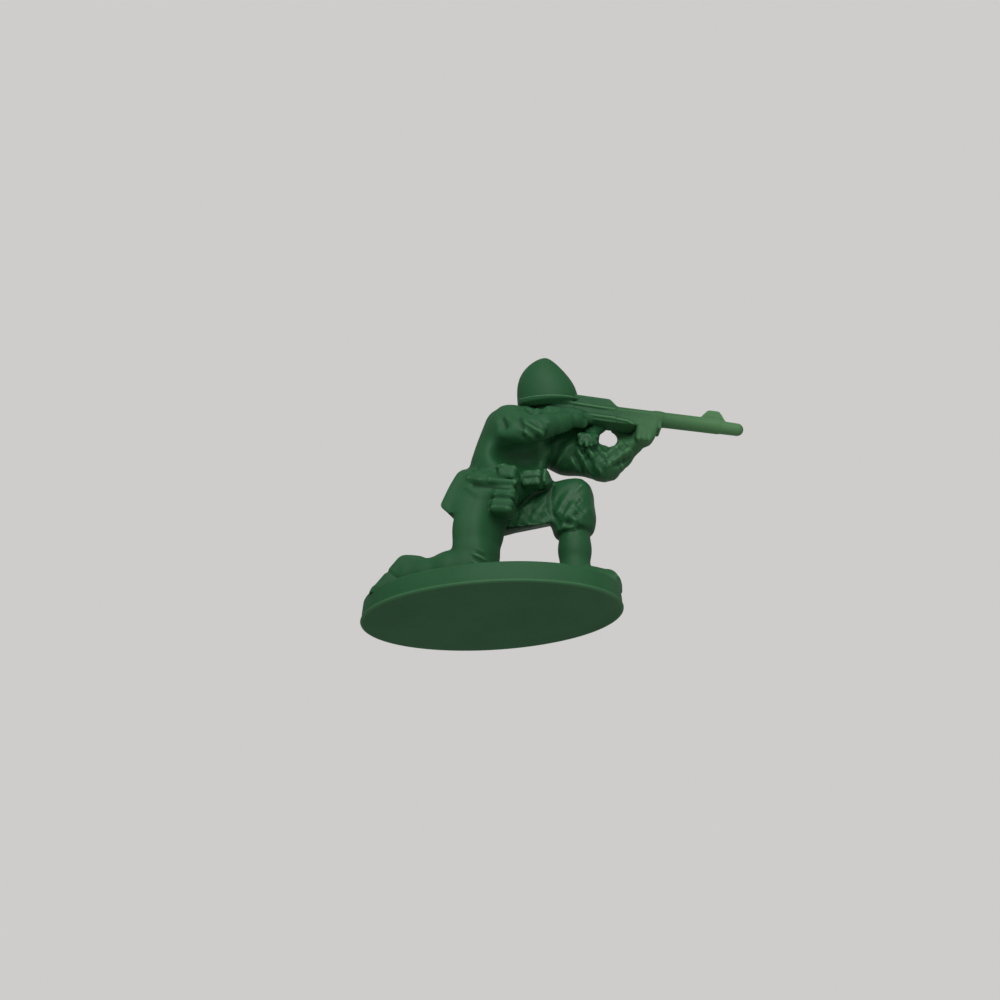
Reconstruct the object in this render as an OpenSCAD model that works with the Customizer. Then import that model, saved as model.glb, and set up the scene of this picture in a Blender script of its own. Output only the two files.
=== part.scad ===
// A toy foot soldier on an oval base, kneeling on the right knee and aiming a rifle.
// The toy is one plastic moulding, and each form that its sculptor gave it is a solid here.
// Origin: the middle of the base's underside. +X is where the rifle aims, +Z is up,
// and the soldier's right side faces -Y.
// Each form is cut by the larger ones beside it, so that neighbours meet face to face.

/* [Base] */
// Length of the oval base
base_l = 26.8; // [24:0.1:34]
// Width of the oval base
base_w = 16.8; // [14:0.1:22]
// Thickness of the base
base_t = 2.4; // [1.6:0.1:3.6]
// Bevel round the base's lower edge
base_bevel = 0.3; // [0.1:0.05:0.6]
// How far the base's side slopes in towards the top
base_draft = 0.6; // [0.1:0.05:1]
// How far the figure stands off the base's middle, towards its right
figure_shift = 0.8; // [0:0.1:1.6]

/* [Legs] */
// Distance between the centre lines of the legs
leg_gap = 4.8; // [4.4:0.1:5.6]
// Length of each thigh, from hip to knee
thigh_l = 8.2; // [7.4:0.1:9]
// Thickness of each thigh
thigh_d = 4.6; // [4.2:0.1:5]
// Thickness of each knee
knee_d = 4.2; // [3.8:0.1:4.6]
// Thickness of each shin
shin_d = 3.1; // [2.7:0.1:3.5]
// Length of the right shin, from knee to ankle
shin_l = 6.2; // [5.6:0.1:7]
// How far the right thigh leans forward
right_thigh_lean = 8; // [4:1:12]
// How far the left thigh rises from level
left_thigh_rise = 4; // [0:1:10]

/* [Boots] */
// Length of each boot
boot_l = 5.8; // [5.2:0.1:6.6]
// Width of each boot
boot_w = 2.8; // [2.4:0.1:3.2]
// Height of each boot at the instep
boot_h = 2.8; // [2.4:0.1:3.2]

/* [Jacket] */
// Height of the belt above the hip joints
belt_rise = 1.8; // [1.5:0.1:2.2]
// Length of the back, from belt to shoulders
torso_l = 6.8; // [6.2:0.1:7.6]
// How far the back leans forward
torso_lean = 24; // [18:1:28]
// How far the shoulders turn towards the right
torso_turn = 27; // [20:1:34]
// Depth of the jacket along the aim
jacket_d = 7.2; // [6.8:0.1:7.8]
// Width of the jacket across the aim
jacket_w = 6.6; // [6.2:0.1:7.2]
// How far the belt sits below the waist
belt_drop = 0.7; // [0.4:0.1:1]
// Distance between the shoulder joints
shoulder_w = 5.6; // [5.2:0.1:6.2]
// Thickness of each shoulder
shoulder_d = 3.7; // [3.3:0.1:4.1]
// How far the belt tips down in front
belt_tilt = 14; // [8:1:18]
// How far the belt tips down towards the right
belt_roll = 6; // [2:1:10]

/* [Arms] */
// Thickness of each upper arm
upper_arm_d = 3.2; // [2.9:0.1:3.5]
// Thickness of each forearm
forearm_d = 2.6; // [2.3:0.1:2.9]
// Size of each closed hand
hand_d = 2.5; // [2.2:0.1:2.8]
// How far the right elbow stands out to the side
right_elbow_out = 1.3; // [0.9:0.1:1.7]
// How far the right elbow reaches forward of the shoulder
right_elbow_forward = 1.8; // [1.4:0.1:2.2]
// How far the right elbow hangs below the shoulder
right_elbow_drop = 2.9; // [2.5:0.1:3.3]
// How far the left elbow hangs below the line from shoulder to hand
left_elbow_drop = 3; // [2.6:0.1:3.4]

/* [Head] */
// Length of the neck, from the shoulders to the middle of the head
neck_l = 3.4; // [3.1:0.1:3.8]
// Thickness of the head
head_d = 3.9; // [3.6:0.1:4.2]
// Length of the helmet above its rim
helmet_l = 6; // [5.6:0.1:6.6]
// Width of the helmet above its rim
helmet_w = 5.4; // [5:0.1:6]
// Height of the helmet above its rim
helmet_h = 4.3; // [3.9:0.1:4.8]
// How far the helmet's rim stands out
rim_out = 0.3; // [0.15:0.05:0.5]
// Thickness of the helmet's rim
rim_t = 0.6; // [0.4:0.05:0.9]
// How far the head tilts towards the stock
head_tilt = 14; // [8:1:18]

/* [Rifle] */
// Length of the rifle
rifle_l = 22.7; // [21:0.1:26]
// Distance from the butt to the trigger hand
trigger_reach = 6.6; // [6.1:0.1:7.1]
// Distance from the butt to the left hand
fore_hand_reach = 12.4; // [11.8:0.1:13]
// Thickness of the barrel
barrel_d = 1.5; // [1.2:0.05:1.7]
// Thickness of the stock and receiver
stock_t = 1.6; // [1.4:0.05:2]
// Height of the stock and receiver
stock_h = 1.7; // [1.5:0.05:2]
// Height of the receiver's cover
cover_h = 0.8; // [0.5:0.05:1.1]
// Length of the receiver's cover
cover_l = 4.6; // [4:0.1:5.2]
// Length of the front sight
sight_l = 2; // [1.4:0.1:2.6]
// Height of the front sight above the barrel
sight_h = 0.8; // [0.4:0.05:1.2]
// Distance from the muzzle to the middle of the front sight
sight_back = 3.3; // [2.2:0.1:4]
// How far the rifle points to the soldier's left
rifle_yaw = 19; // [15:1:22]
// How far the rifle points down
rifle_dip = 5.5; // [3:0.5:8]

/* [Kit] */
// Height of the belt
belt_h = 0.9; // [0.7:0.05:1.1]
// How far the belt stands out from the jacket
belt_out = 0.25; // [0.15:0.05:0.4]
// Height of the ribbed pouch
pouch_h = 3; // [2.6:0.1:3.4]
// Width of the ribbed pouch
pouch_w = 2.6; // [2.2:0.1:3]
// Ribs on the ribbed pouch
pouch_ribs = 4; // [2:1:5]
// Height of the canteen
canteen_h = 5.6; // [5:0.1:6.2]
// Width of the canteen
canteen_w = 5.2; // [4.6:0.1:5.8]
// Thickness of the canteen
canteen_t = 4.2; // [3.8:0.1:4.8]
// Size of the small pouch in front
small_pouch_d = 2.2; // [1.8:0.1:2.6]

/* [Hidden] */

plastic = [0.16, 0.42, 0.24];
facets = 16;
oval_facets = 72;
overrun = base_l;

function heading(yaw, rise) = [cos(rise) * cos(yaw), cos(rise) * sin(yaw), sin(rise)];
function between(a, b, share) = a + share * (b - a);
function stretch(v, s) = [v.x * s.x, v.y * s.y, v.z * s.z];

// Places of the joints, worked out from the base upwards
knee_x_share = -0.037;
knee_z_share = 0.45;
right_knee_p = [base_l * knee_x_share, -figure_shift - leg_gap / 2, base_t + knee_d * knee_z_share];
right_hip_p = right_knee_p + thigh_l * heading(0, 90 - right_thigh_lean);
pelvis_p = right_hip_p + [0, leg_gap / 2, 0];
left_hip_p = right_hip_p + [0, leg_gap, 0];
left_knee_p = left_hip_p + thigh_l * heading(0, left_thigh_rise);
ankle_z_share = 0.75;
left_ankle_p = [left_knee_p.x, left_knee_p.y, base_t + boot_h * ankle_z_share];
right_ankle_p = [right_knee_p.x - shin_l, right_knee_p.y, base_t + boot_h * ankle_z_share];

belt_forward_share = 0.58;
waist_p = pelvis_p + [belt_rise * belt_forward_share, 0, belt_rise];
chest_p = waist_p + torso_l * heading(0, 90 - torso_lean);
across = [sin(torso_turn), cos(torso_turn), 0];
right_shoulder_p = chest_p - shoulder_w / 2 * across;
left_shoulder_p = chest_p + shoulder_w / 2 * across;

neck_shares = [0.72, 0.03, 0.72];
head_p = chest_p + neck_l * neck_shares;
rim_rise_share = 0.3;
helmet_p = head_p + [0, 0, head_d * rim_rise_share];

butt_seat_shares = [0.47, 0.2, 0.7];
butt_p = right_shoulder_p + shoulder_d * butt_seat_shares;
aim = heading(rifle_yaw, -rifle_dip);
function on_aim(reach, up) = butt_p + reach * aim + [0, 0, up];
stock_top = stock_h / 6;
stock_low = stock_top - stock_h;
receiver_back = trigger_reach - cover_l / 2;
receiver_front = receiver_back + cover_l;
fore_end_front = fore_hand_reach + hand_d / 2;

wrist_shares = [0.64, 0.55, 0.65];
right_wrist_p = on_aim(trigger_reach * wrist_shares.x, stock_low)
    - [0, forearm_d * wrist_shares.y, hand_d * wrist_shares.z];
right_hand_p = on_aim(trigger_reach, stock_low - hand_d / 2);
left_hand_p = on_aim(fore_hand_reach, stock_low - hand_d / 3);
right_elbow_p = right_shoulder_p + [right_elbow_forward, -right_elbow_out, -right_elbow_drop];
left_elbow_share = 0.6;
left_elbow_p = between(left_shoulder_p, left_hand_p, left_elbow_share)
    + [0, hand_d / 3, -left_elbow_drop];

// A unit ball, or with flat sides four smaller balls at the corners of a square
module unit_form(corner_share) {
    for (x = corner_share > 0 ? [-1, 1] : [0], y = corner_share > 0 ? [-1, 1] : [0])
        translate([x, y, 0] * corner_share)
            scale([1 - corner_share, 1 - corner_share, 1])
                sphere(1, $fn = facets);
}

// A limb runs between two places through rounded stations. Each row of its table of shares
// holds the station's share of the way, then its three radii as shares of half the limb's
// thicknesses, then its shift along X, Y and Z as shares of the thicknesses.
module station(a, b, size, row, corner_share) {
    translate(between(a, b, row[0]) + stretch(size, [row[4], row[5], row[6]]))
        scale(stretch(size / 2, [row[1], row[2], row[3]]))
            unit_form(corner_share);
}

module limb(a, b, size, shares, corner_share = 0) {
    for (i = [1 : len(shares) - 1])
        hull() {
            station(a, b, size, shares[i - 1], corner_share);
            station(a, b, size, shares[i], corner_share);
        }
}

// A lump is one rounded mass round all its stations
module lump(a, b, size, shares, corner_share = 0) {
    hull()
        for (row = shares)
            station(a, b, size, row, corner_share);
}

// A plate lies in the XZ plane, with its middle on that plane
module plate(thickness, outline) {
    translate([0, thickness / 2, 0])
        rotate([90, 0, 0])
            linear_extrude(thickness)
                polygon(outline);
}

// A slab is a hull of slices, each an outline given in shares of the slab's size. Each row of
// its table holds the slice's place across the slab, its shift, and its two scales.
module slab(place, size, outline_shares, slice_shares) {
    slice_t = size.y / facets / 4;
    translate(place)
        hull()
            for (row = slice_shares)
                translate([size.x * row[1], size.y * row[0], 0])
                    plate(slice_t, [for (p = outline_shares)
                        [p.x * size.x * row[2], p.y * size.z * row[3]]]);
}

function round_size(d) = [d, d, d];

// Everything below the base's top
module ground() {
    translate([-overrun, -overrun, base_t - overrun])
        cube([overrun * 2, overrun * 2, overrun]);
}

module on_belt() {
    translate(waist_p - [0, 0, belt_drop])
        rotate([belt_roll, belt_tilt, 0])
            children();
}

// Everything on one side of the belt's middle: 1 is above, -1 is below
module past_belt(side) {
    on_belt()
        translate([-overrun, -overrun, side < 0 ? -overrun : 0])
            cube([overrun * 2, overrun * 2, overrun]);
}

// Base
module oval(inset, low, high) {
    translate([0, 0, low])
        linear_extrude(high - low)
            scale([base_l / 2 - inset, base_w / 2 - inset])
                circle(1, $fn = oval_facets);
}

module base() {
    color(plastic)
        hull() {
            oval(base_bevel, 0, base_bevel / 2);
            oval(0, base_bevel, base_bevel * 2);
            oval(base_draft, base_t - base_bevel, base_t);
        }
}

// Trousers
hips_shares = [[0, 1.26, 1, 0.92, 0.02, 0, 0.02], [0.3, 1.36, 1, 1.04, 0.04, 0, 0.02],
    [0.7, 1.36, 1, 1.04, 0.04, 0, 0.02], [1, 1.16, 1, 0.92, 0.02, 0, 0.02]];
right_thigh_shares = [[0.08, 1.08, 0.94, 0.8, 0, 0.03, 0], [0.33, 1.02, 0.94, 1, 0, 0.01, 0],
    [0.66, 0.92, 0.92, 1, -0.01, 0, 0], [1, 0.92, 0.9, 0.9, 0.05, 0, 0]];
right_knee_shares = [[0, 0.98, 0.98, 1, 0.05, 0, 0], [0, 1, 1, 0.9, 0.05, 0, -0.3]];
flat_side_share = 0.35;
right_shin_shares = [[0, 0.96, 1.24, 1.24, -0.3, 0, 0.06], [0.3, 1, 1.16, 1.16, 0, 0, 0.02],
    [0.5, 0.96, 1.04, 1, 0, 0, 0.02], [0.75, 0.9, 0.94, 0.88, 0, 0, 0],
    [1, 0.84, 0.9, 0.84, 0, 0, 0.05]];
left_thigh_shares = [[0.06, 0.94, 0.96, 0.96, 0, 0, 0], [0.45, 1, 0.96, 0.94, 0, 0, 0.02],
    [1, 0.88, 0.9, 0.88, 0, 0, 0.01]];
left_knee_shares = [[0, 1, 1, 1, -0.01, 0, 0.02], [0, 1.04, 1.02, 0.9, -0.01, 0, -0.52],
    [0, 0.96, 0.96, 0.5, -0.01, 0, -0.76]];
left_shin_shares = [[0.2, 1, 1, 1, 0.02, 0, 0], [0.5, 0.98, 0.98, 1, 0.01, 0, 0],
    [0.9, 0.98, 0.98, 1, 0.01, 0, 0], [1.2, 1.06, 1.04, 1, 0, 0, 0]];

module hips_form() {
    limb(right_hip_p, left_hip_p, round_size(thigh_d), hips_shares);
}

module hips() {
    color(plastic)
        difference() {
            hips_form();
            past_belt(1);
            belt_form();
            skirt_form();
            jacket_form();
        }
}

module right_knee_form() {
    lump(right_knee_p, right_knee_p, round_size(knee_d), right_knee_shares, flat_side_share);
}

module right_knee() {
    color(plastic)
        difference() {
            right_knee_form();
            ground();
        }
}

module right_thigh_form() {
    limb(right_hip_p, right_knee_p, round_size(thigh_d), right_thigh_shares, flat_side_share);
}

module right_thigh() {
    color(plastic)
        difference() {
            right_thigh_form();
            belt_form();
            skirt_form();
            hips_form();
            right_knee_form();
            ground();
        }
}

module right_shin_form() {
    limb(right_knee_p, right_ankle_p, round_size(shin_d), right_shin_shares);
}

module right_shin() {
    color(plastic)
        difference() {
            right_shin_form();
            right_thigh_form();
            right_knee_form();
            ground();
        }
}

module left_knee_form() {
    lump(left_knee_p, left_knee_p, round_size(knee_d), left_knee_shares);
}

module left_knee() {
    color(plastic)
        left_knee_form();
}

module left_thigh_form() {
    limb(left_hip_p, left_knee_p, round_size(thigh_d), left_thigh_shares);
}

module left_thigh() {
    color(plastic)
        difference() {
            left_thigh_form();
            belt_form();
            skirt_form();
            hips_form();
            left_knee_form();
        }
}

module left_shin_form() {
    limb(left_knee_p, left_ankle_p, round_size(shin_d), left_shin_shares);
}

module left_shin() {
    color(plastic)
        difference() {
            left_shin_form();
            left_thigh_form();
            left_knee_form();
            ground();
        }
}

// Boots
right_boot_outline_shares = [[0.24, -0.82], [-0.74, -0.76], [-0.73, -0.68], [-0.24, 0.44],
    [-0.19, 0.47], [0.24, 0.34]];
right_boot_slice_shares = [[-0.5, 0.01, 0.94, 0.9], [-0.4, 0, 1, 1], [0.4, 0, 1, 1],
    [0.5, 0.01, 0.94, 0.9]];
left_boot_shares = [[0, 0.52, 1, 0.7, 0, 0, -0.42], [0, 0.56, 1, 0.9, 0.04, 0, 0.1],
    [0, 0.46, 1, 0.84, 0.3, 0, -0.06], [0, 0.42, 1, 0.8, 0.52, 0, -0.22],
    [0, 0.34, 0.94, 0.66, 0.64, 0, -0.36]];

module right_boot_form() {
    slab(right_ankle_p, [boot_l, boot_w, boot_h], right_boot_outline_shares,
        right_boot_slice_shares);
}

module right_boot() {
    color(plastic)
        difference() {
            right_boot_form();
            right_shin_form();
            ground();
        }
}

module left_boot_form() {
    limb(left_ankle_p, left_ankle_p, [boot_l, boot_w, boot_h], left_boot_shares);
}

module left_boot() {
    color(plastic)
        difference() {
            left_boot_form();
            left_shin_form();
            ground();
        }
}

// Jacket and belt
skirt_shares = [[0.35, 1.02, 1.14, 0.5, 0.01, 0, 0], [0.85, 1.06, 1.22, 0.6, 0.04, -0.01, 0]];
jacket_shares = [[0, 0.98, 1.18, 0.5, 0, 0, 0], [0.2, 1.05, 1.16, 0.5, -0.015, 0, 0],
    [0.42, 1.09, 1.09, 0.6, -0.05, 0, 0], [0.66, 1.09, 1.08, 0.6, -0.09, 0, 0],
    [0.9, 0.95, 1.04, 0.6, -0.115, 0, 0]];
yoke_shares = [[0, 1.03, 1, 1.03, -0.09, 0.06, 0.02], [0.35, 1.2, 1.1, 1, -0.19, 0, 0],
    [0.7, 1.16, 1.1, 1, -0.14, 0, 0], [1, 1.02, 1, 1.02, -0.03, 0, 0]];
belt_round_shares = [0.96, 1.18];
collar_shares = [[0.22, 1.35, 1.3, 0.9, -0.05, 0, 0], [0.6, 1.1, 1.1, 0.5, -0.06, 0, 0]];

module belt_slice(grow, height) {
    translate([0, 0, -height / 2])
        linear_extrude(height)
            scale([jacket_d / 2 * belt_round_shares.x + grow, jacket_w / 2 * belt_round_shares.y + grow])
                circle(1, $fn = facets * 2);
}

module belt_form() {
    on_belt()
        hull() {
            belt_slice(0, belt_h);
            belt_slice(belt_out, belt_h / 2);
        }
}

module belt() {
    color(plastic)
        belt_form();
}

module skirt_form() {
    lump(waist_p, pelvis_p, [jacket_d, jacket_w, shoulder_d], skirt_shares);
}

module jacket_skirt() {
    color(plastic)
        difference() {
            skirt_form();
            past_belt(1);
            belt_form();
            jacket_form();
        }
}

module jacket_form() {
    difference() {
        union() {
            limb(waist_p, chest_p, [jacket_d, jacket_w, shoulder_d], jacket_shares);
            limb(right_shoulder_p, left_shoulder_p, round_size(shoulder_d), yoke_shares);
        }
        past_belt(-1);
    }
}

module jacket() {
    color(plastic)
        difference() {
            jacket_form();
            belt_form();
        }
}

module collar_form() {
    lump(chest_p, head_p, round_size(head_d), collar_shares);
}

module collar() {
    color(plastic)
        difference() {
            collar_form();
            jacket_form();
            head_form();
            on_rifle()
                stock_form();
        }
}

// Head and helmet
head_shares = [[0.45, 0.8, 0.8, 0.8, 0, 0, 0], [0.84, 1.02, 0.94, 0.9, 0, 0, 0],
    [1, 1.1, 0.96, 1, 0, 0, 0]];
dome_shares = [[1, 0], [0.97, 0.22], [0.85, 0.5], [0.65, 0.76], [0.4, 0.93], [0.1, 1]];
dome_lean_share = 0.055;

module head_form() {
    lump(chest_p, head_p, round_size(head_d), head_shares);
}

module head() {
    color(plastic)
        difference() {
            head_form();
            jacket_form();
            past_rim();
            on_rifle() {
                receiver_form();
                cover_form();
            }
        }
}

module on_helmet() {
    translate(helmet_p)
        rotate([head_tilt, 0, 0])
            children();
}

// Everything above the rim's lower face
module past_rim() {
    on_helmet()
        translate([-overrun, -overrun, -rim_t])
            cube([overrun * 2, overrun * 2, overrun]);
}

module helmet_slice(grow, low, high) {
    translate([0, 0, low])
        linear_extrude(high - low)
            scale([helmet_l / 2 + grow, helmet_w / 2 + grow])
                circle(1, $fn = facets * 2);
}

module rim_form() {
    on_helmet()
        hull() {
            helmet_slice(0, -rim_t, 0);
            helmet_slice(rim_out, -rim_t * 2 / 3, -rim_t / 3);
        }
}

module helmet_rim() {
    color(plastic)
        rim_form();
}

module dome_slice(row) {
    slice_t = rim_t / 4;
    translate([-helmet_l * dome_lean_share * row[1], 0, (helmet_h - slice_t) * row[1]])
        linear_extrude(slice_t)
            scale([helmet_l / 2 * row[0], helmet_w / 2 * row[0]])
                circle(1, $fn = facets * 2);
}

module dome_form() {
    on_helmet()
        hull()
            for (row = dome_shares)
                dome_slice(row);
}

module helmet() {
    color(plastic)
        dome_form();
}

// Arms
right_upper_arm_shares = [[0, 1.1, 1.1, 1.1, -0.03, 0, -0.03], [0.55, 1.08, 1.08, 1.08, -0.33, 0, -0.04],
    [1, 0.94, 0.94, 0.94, 0, 0, 0], [1, 0.78, 0.78, 0.78, 0.26, 0.1, 0.14]];
left_upper_arm_shares = [[0, 1.5, 1.25, 1.5, 0, 0, -0.12], [0.4, 1.26, 1.1, 1.26, 0, 0, -0.1],
    [1, 1.06, 1, 1.06, 0, 0, 0]];
right_forearm_shares = [[0, 1.08, 1.08, 1.1, 0, 0, 0], [0.5, 0.98, 0.98, 0.98, 0, 0, 0],
    [1, 0.84, 0.84, 0.84, 0, 0, 0]];
left_forearm_shares = [[0, 1.2, 1.2, 1.2, 0, 0, 0], [0.3, 1.2, 1.1, 1.16, -0.02, 0, 0],
    [0.6, 1.1, 1, 1.04, -0.05, 0, 0], [0.86, 0.96, 0.9, 0.9, -0.08, 0, 0]];
right_hand_shares = [[0, 0.74, 0.74, 0.74, 0, 0, 0], [0.45, 0.72, 0.72, 0.72, 0, -0.04, 0.15],
    [0.8, 0.64, 0.7, 0.7, 0, 0, -0.05], [1, 0.58, 0.62, 0.64, 0.06, 0, -0.46]];
left_hand_shares = [[0.12, 0.9, 0.8, 0.8, -0.22, 0, 0.02], [0, 1.04, 1, 0.95, -0.04, 0, 0],
    [0, 0.98, 1, 0.95, 0.1, 0, 0.06], [0, 0.95, 1, 0.95, 0.18, 0.04, 0.14]];

module right_upper_arm_form() {
    lump(right_shoulder_p, right_elbow_p, round_size(upper_arm_d), right_upper_arm_shares,
        flat_side_share);
}

module right_upper_arm() {
    color(plastic)
        difference() {
            right_upper_arm_form();
            jacket_form();
        }
}

module right_forearm_form() {
    limb(right_elbow_p, right_wrist_p, round_size(forearm_d), right_forearm_shares);
}

module right_forearm() {
    color(plastic)
        difference() {
            right_forearm_form();
            right_upper_arm_form();
            jacket_form();
            on_rifle() {
                stock_form();
                receiver_form();
            }
        }
}

module right_hand_form() {
    limb(right_wrist_p, right_hand_p, round_size(hand_d), right_hand_shares);
}

module right_hand() {
    color(plastic)
        difference() {
            right_hand_form();
            right_forearm_form();
            right_upper_arm_form();
            on_rifle() {
                stock_form();
                receiver_form();
                cover_form();
            }
        }
}

module left_upper_arm_form() {
    limb(left_shoulder_p, left_elbow_p, round_size(upper_arm_d), left_upper_arm_shares);
}

module left_upper_arm() {
    color(plastic)
        difference() {
            left_upper_arm_form();
            jacket_form();
        }
}

module left_forearm_form() {
    limb(left_elbow_p, left_hand_p, round_size(forearm_d), left_forearm_shares);
}

module left_forearm() {
    color(plastic)
        difference() {
            left_forearm_form();
            left_upper_arm_form();
            jacket_form();
            on_rifle() {
                fore_end_form();
                barrel_form();
            }
        }
}

module left_hand_form() {
    limb(left_hand_p, left_elbow_p, round_size(hand_d), left_hand_shares);
}

module left_hand() {
    color(plastic)
        difference() {
            left_hand_form();
            left_forearm_form();
            left_upper_arm_form();
            on_rifle() {
                receiver_form();
                fore_end_form();
                barrel_form();
            }
        }
}

// Rifle, drawn along +X from the butt, with the bore on the axis
butt_drop_share = 0.8;
butt_deep_share = 0.8;
cover_slope_share = 0.76;
muzzle_share = 0.62;

module on_rifle() {
    translate(butt_p)
        rotate([0, rifle_dip, rifle_yaw])
            children();
}

module stock_form() {
    plate(stock_t, [
        [0, stock_top - stock_h * butt_drop_share],
        [receiver_back, stock_top],
        [receiver_back, stock_low],
        [0, stock_low - stock_h * butt_deep_share]
    ]);
}

module rifle_stock() {
    color(plastic)
        difference() {
            on_rifle()
                stock_form();
            jacket_form();
            right_upper_arm_form();
            head_form();
        }
}

module receiver_form() {
    plate(stock_t, [
        [receiver_back, stock_low],
        [receiver_back, stock_top],
        [receiver_front, stock_top],
        [receiver_front, stock_low]
    ]);
}

module rifle_receiver() {
    color(plastic)
        on_rifle()
            receiver_form();
}

module cover_form() {
    plate(stock_t, [
        [receiver_back, stock_top],
        [receiver_back, stock_top + cover_h],
        [receiver_back + cover_l * cover_slope_share, stock_top + cover_h],
        [receiver_front, stock_top]
    ]);
}

module receiver_cover() {
    color(plastic)
        difference() {
            on_rifle()
                cover_form();
            rim_form();
        }
}

module barrel_form() {
    translate([receiver_front, 0, 0])
        rotate([0, 90, 0]) {
            cylinder(rifle_l - receiver_front - barrel_d / 2, d = barrel_d, $fn = facets * 2);
            translate([0, 0, rifle_l - receiver_front - barrel_d / 2])
                cylinder(barrel_d / 2, d1 = barrel_d, d2 = barrel_d * muzzle_share, $fn = facets * 2);
        }
}

module rifle_barrel() {
    color(plastic)
        on_rifle()
            barrel_form();
}

module fore_end_form() {
    plate(stock_t, [
        [receiver_front, stock_low],
        [receiver_front, 0],
        [fore_end_front, 0],
        [fore_end_front, stock_low]
    ]);
}

module rifle_fore_end() {
    color(plastic)
        on_rifle()
            difference() {
                fore_end_form();
                barrel_form();
            }
}

module sight_form() {
    sight_x = rifle_l - sight_back;
    plate(barrel_d / 2, [
        [sight_x - sight_l / 2, 0],
        [sight_x - sight_l / 4, barrel_d / 2 + sight_h],
        [sight_x + sight_l / 4, barrel_d / 2 + sight_h],
        [sight_x + sight_l / 2, 0]
    ]);
}

module front_sight() {
    color(plastic)
        on_rifle()
            difference() {
                sight_form();
                barrel_form();
            }
}

// Kit on the belt
canteen_place_shares = [-0.58, -0.14, -0.08];
canteen_outline_shares = [[0.48, -0.51], [-0.12, -0.51], [-0.51, -0.2], [-0.12, 0.5], [0.3, 0.4],
    [0.48, 0.3]];
canteen_slice_shares = [[-0.5, 0.38, 0.2, 0.34], [0.08, 0, 1, 1], [0.5, 0.04, 0.92, 0.9]];
small_pouch_place_shares = [0.58, -0.1, -0.03];
small_pouch_shares = [[0, 0.85, 0.9, 0.9, -0.16, -0.42, -0.16], [0, 0.95, 1.2, 1, 0.1, 0.36, 0.08]];
pouch_place_shares = [0.15, -0.66, -0.8];
pouch_rib_shares = [0.3, 0.42, 0.66];
pouch_lean = 8;

module pouch_rib(rib_h) {
    for (side = [-1, 1])
        translate([side * pouch_w / 5, 0, 0])
            scale(stretch([pouch_w, pouch_w, rib_h], pouch_rib_shares))
                sphere(1, $fn = facets);
}

module ribbed_pouch_form() {
    rib_h = pouch_h / pouch_ribs;
    translate(waist_p + stretch([jacket_d, jacket_w, pouch_h], pouch_place_shares))
        rotate([0, pouch_lean, 0])
            for (i = [0 : pouch_ribs - 1])
                translate([0, 0, -i * rib_h])
                    hull()
                        pouch_rib(rib_h);
}

module ribbed_pouch() {
    color(plastic)
        difference() {
            ribbed_pouch_form();
            belt_form();
            skirt_form();
            hips_form();
            right_thigh_form();
        }
}

module small_pouch_form() {
    place = waist_p + stretch([jacket_d, jacket_w, shoulder_d], small_pouch_place_shares);
    lump(place, place, round_size(small_pouch_d), small_pouch_shares);
}

module small_pouch() {
    color(plastic)
        difference() {
            small_pouch_form();
            jacket_form();
            belt_form();
            skirt_form();
            hips_form();
            left_thigh_form();
        }
}

module canteen_form() {
    place = waist_p + stretch([jacket_d, jacket_w, canteen_h], canteen_place_shares);
    slab(place, [canteen_t, canteen_w, canteen_h], canteen_outline_shares, canteen_slice_shares);
}

module canteen() {
    color(plastic)
        difference() {
            canteen_form();
            jacket_form();
            belt_form();
            skirt_form();
            hips_form();
            right_thigh_form();
        }
}

base();
right_boot();
right_shin();
right_knee();
right_thigh();
left_boot();
left_shin();
left_knee();
left_thigh();
hips();
jacket_skirt();
belt();
jacket();
collar();
head();
helmet_rim();
helmet();
right_upper_arm();
right_forearm();
right_hand();
left_upper_arm();
left_forearm();
left_hand();
rifle_stock();
rifle_receiver();
receiver_cover();
rifle_fore_end();
rifle_barrel();
front_sight();
ribbed_pouch();
small_pouch();
canteen();
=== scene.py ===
"""The looks of the toy foot soldier: one soft-edged green moulding, drawn as rounded fields that
blend into each other, and meshed one piece for each node of the CAD part."""

import math
from concurrent.futures import ThreadPoolExecutor

import bpy
import numpy as np
from mathutils import Matrix, Vector


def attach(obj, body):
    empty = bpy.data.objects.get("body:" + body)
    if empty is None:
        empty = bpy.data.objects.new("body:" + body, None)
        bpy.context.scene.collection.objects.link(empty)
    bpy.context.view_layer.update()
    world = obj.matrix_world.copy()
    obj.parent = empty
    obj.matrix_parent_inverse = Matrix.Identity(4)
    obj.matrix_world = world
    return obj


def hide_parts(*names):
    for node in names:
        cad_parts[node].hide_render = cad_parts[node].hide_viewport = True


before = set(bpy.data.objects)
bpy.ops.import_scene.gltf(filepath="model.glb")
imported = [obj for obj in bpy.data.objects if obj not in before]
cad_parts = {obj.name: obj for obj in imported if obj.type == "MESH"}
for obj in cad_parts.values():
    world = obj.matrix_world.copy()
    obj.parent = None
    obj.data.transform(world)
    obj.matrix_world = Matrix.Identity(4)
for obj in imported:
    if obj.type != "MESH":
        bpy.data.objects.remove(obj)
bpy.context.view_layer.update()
MM = 0.001

# The grid's cells in millimetres, and the forms that need the finer ones
CELL = 0.11
FINE_CELL = 0.08
FINE = ("helmet_rim", "right_hand", "left_hand", "rifle_stock", "rifle_receiver", "receiver_cover",
        "rifle_fore_end", "front_sight", "ribbed_pouch", "small_pouch", "head", "belt")


# Directions and joint places, in millimetres, as in the part's source
def heading(yaw, rise):
    y, r = math.radians(yaw), math.radians(rise)
    return np.array([math.cos(r) * math.cos(y), math.cos(r) * math.sin(y), math.sin(r)])


def vec(*p):
    return np.array(p, float)


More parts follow.
